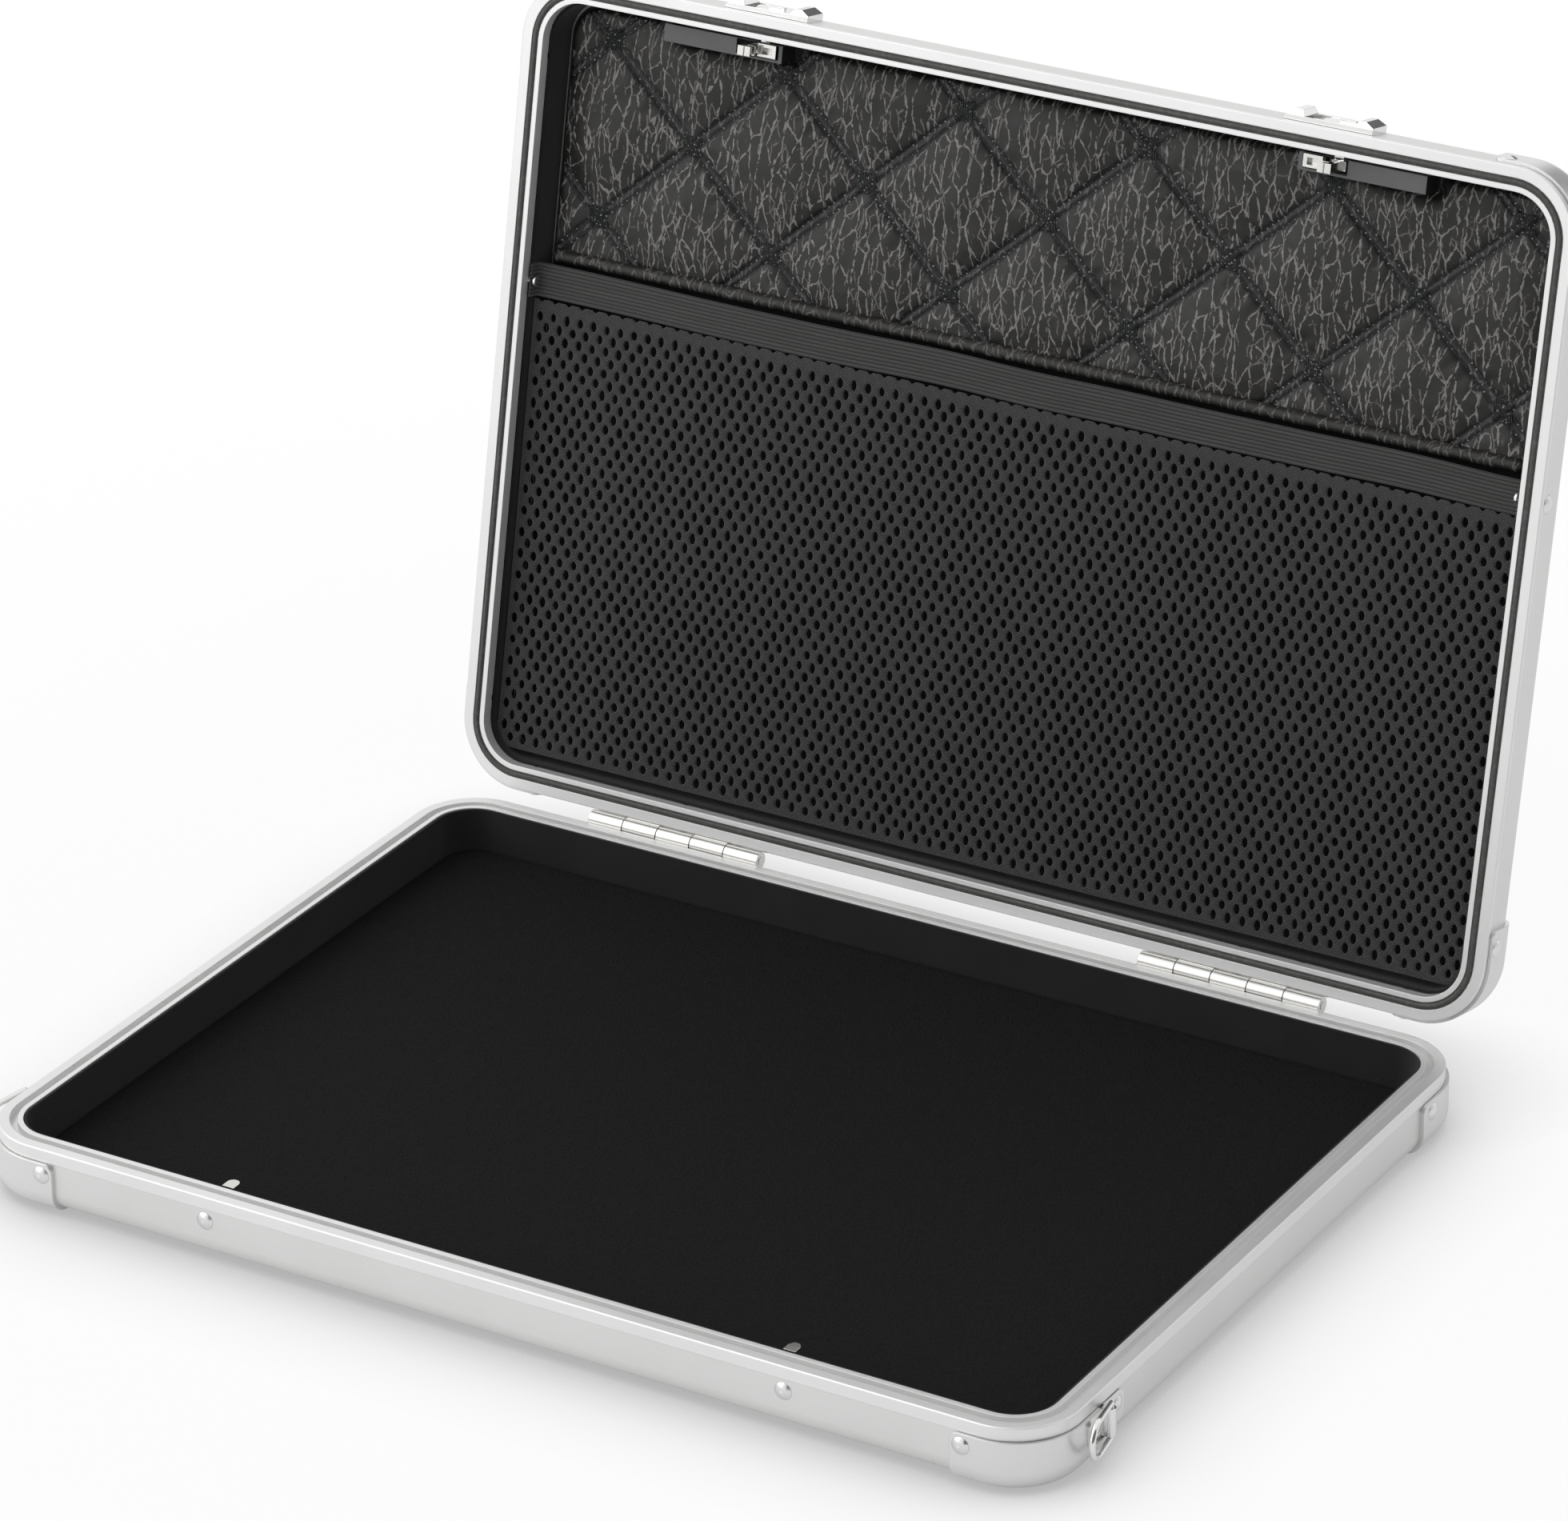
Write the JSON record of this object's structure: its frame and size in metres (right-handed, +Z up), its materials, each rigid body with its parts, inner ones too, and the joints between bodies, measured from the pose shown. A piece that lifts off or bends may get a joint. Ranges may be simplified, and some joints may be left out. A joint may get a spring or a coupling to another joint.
{
  "type": "laptop hard case",
  "caption": "Slim aluminium laptop hard case standing open: hinged lid leaning on its stops, sliding latches, quilted lid panel, net pocket and swinging D rings.",
  "frame": {"origin": "bottom centre of the box round the open case: between the ends of the case across, on the plane of the caps' undersides", "axes": "+X right along the front edge, +Y from the front to the hinge side, +Z up"},
  "size_m": [0.3614, 0.3252, 0.2731],
  "materials": {
    "satin_aluminium": "fine satin, clear anodised",
    "rivet_metal": "smooth, semi-bright",
    "bright_plate": "polished nickel chrome",
    "nickel_steel": "bright nickel plate, fine brushed",
    "seal_rubber": "matte",
    "flock": "short black flock",
    "foam": "black foam, matte",
    "quilt_leatherette": "black leatherette with fine pale creases",
    "elastic": "ribbed black elastic",
    "net": "fine black net",
    "cover_plastic": "dark grey, matte"
  },
  "bodies": {
    "base": {"base_shell": "satin_aluminium", "base_frame": "satin_aluminium", "base_cap_fl": "satin_aluminium", "base_cap_fr": "satin_aluminium", "base_cap_rl": "satin_aluminium", "base_cap_rr": "satin_aluminium", "base_cap_rivets": "rivet_metal", "base_lining": "flock", "base_pad": "foam", "strike_left": "nickel_steel", "strike_right": "nickel_steel", "strike_rivets": "rivet_metal", "ring_bracket_left": "bright_plate", "ring_bracket_right": "bright_plate", "bracket_rivets": "rivet_metal", "hinge_base_left": "nickel_steel", "hinge_base_right": "nickel_steel", "hinge_pin_left": "nickel_steel", "hinge_pin_right": "nickel_steel", "hinge_base_rivets": "rivet_metal"},
    "lid": {"lid_shell": "satin_aluminium", "lid_frame": "satin_aluminium", "lid_seal": "seal_rubber", "lid_cap_fl": "satin_aluminium", "lid_cap_fr": "satin_aluminium", "lid_cap_rl": "satin_aluminium", "lid_cap_rr": "satin_aluminium", "lid_cap_rivets": "rivet_metal", "lid_lining": "flock", "lid_board": "flock", "lid_quilt": "quilt_leatherette", "lid_band": "elastic", "band_rivets": "rivet_metal", "lid_mesh": "net", "latch_plate_left": "bright_plate", "latch_plate_right": "bright_plate", "latch_screws": "nickel_steel", "latch_guide_left": "nickel_steel", "latch_guide_right": "nickel_steel", "latch_cover_left": "cover_plastic", "latch_cover_right": "cover_plastic", "hinge_lid_left": "nickel_steel", "hinge_lid_right": "nickel_steel", "hinge_lid_rivets": "rivet_metal"},
    "ring_right": {"ring_right": "bright_plate"},
    "ring_left": {"ring_left": "bright_plate"},
    "latch_right": {"latch_slide_right": "bright_plate", "latch_bolt_right": "nickel_steel"},
    "latch_left": {"latch_slide_left": "bright_plate", "latch_bolt_left": "nickel_steel"}
  },
  "joints": [
    {"name": "lid_hinge", "type": "hinge", "parent": "base", "child": "lid", "pos_m": [0, 0.09431, 0.02085], "axis": [1, 0, 0], "range_deg": [0, 101.8]},
    {"name": "ring_right_swing", "type": "hinge", "parent": "base", "child": "ring_right", "pos_m": [0.1773, -0.12989, 0.0124], "axis": [0, 0, 1], "range_deg": [-9, 170]},
    {"name": "ring_left_swing", "type": "hinge", "parent": "base", "child": "ring_left", "pos_m": [-0.1773, -0.12989, 0.0124], "axis": [0, 0, -1], "range_deg": [-9, 170]},
    {"name": "latch_right_slide", "type": "slide", "parent": "lid", "child": "latch_right", "axis": [-1, 0, 0], "range_m": [0, 0.0032]},
    {"name": "latch_left_slide", "type": "slide", "parent": "lid", "child": "latch_left", "axis": [1, 0, 0], "range_m": [0, 0.0032]}
  ]
}
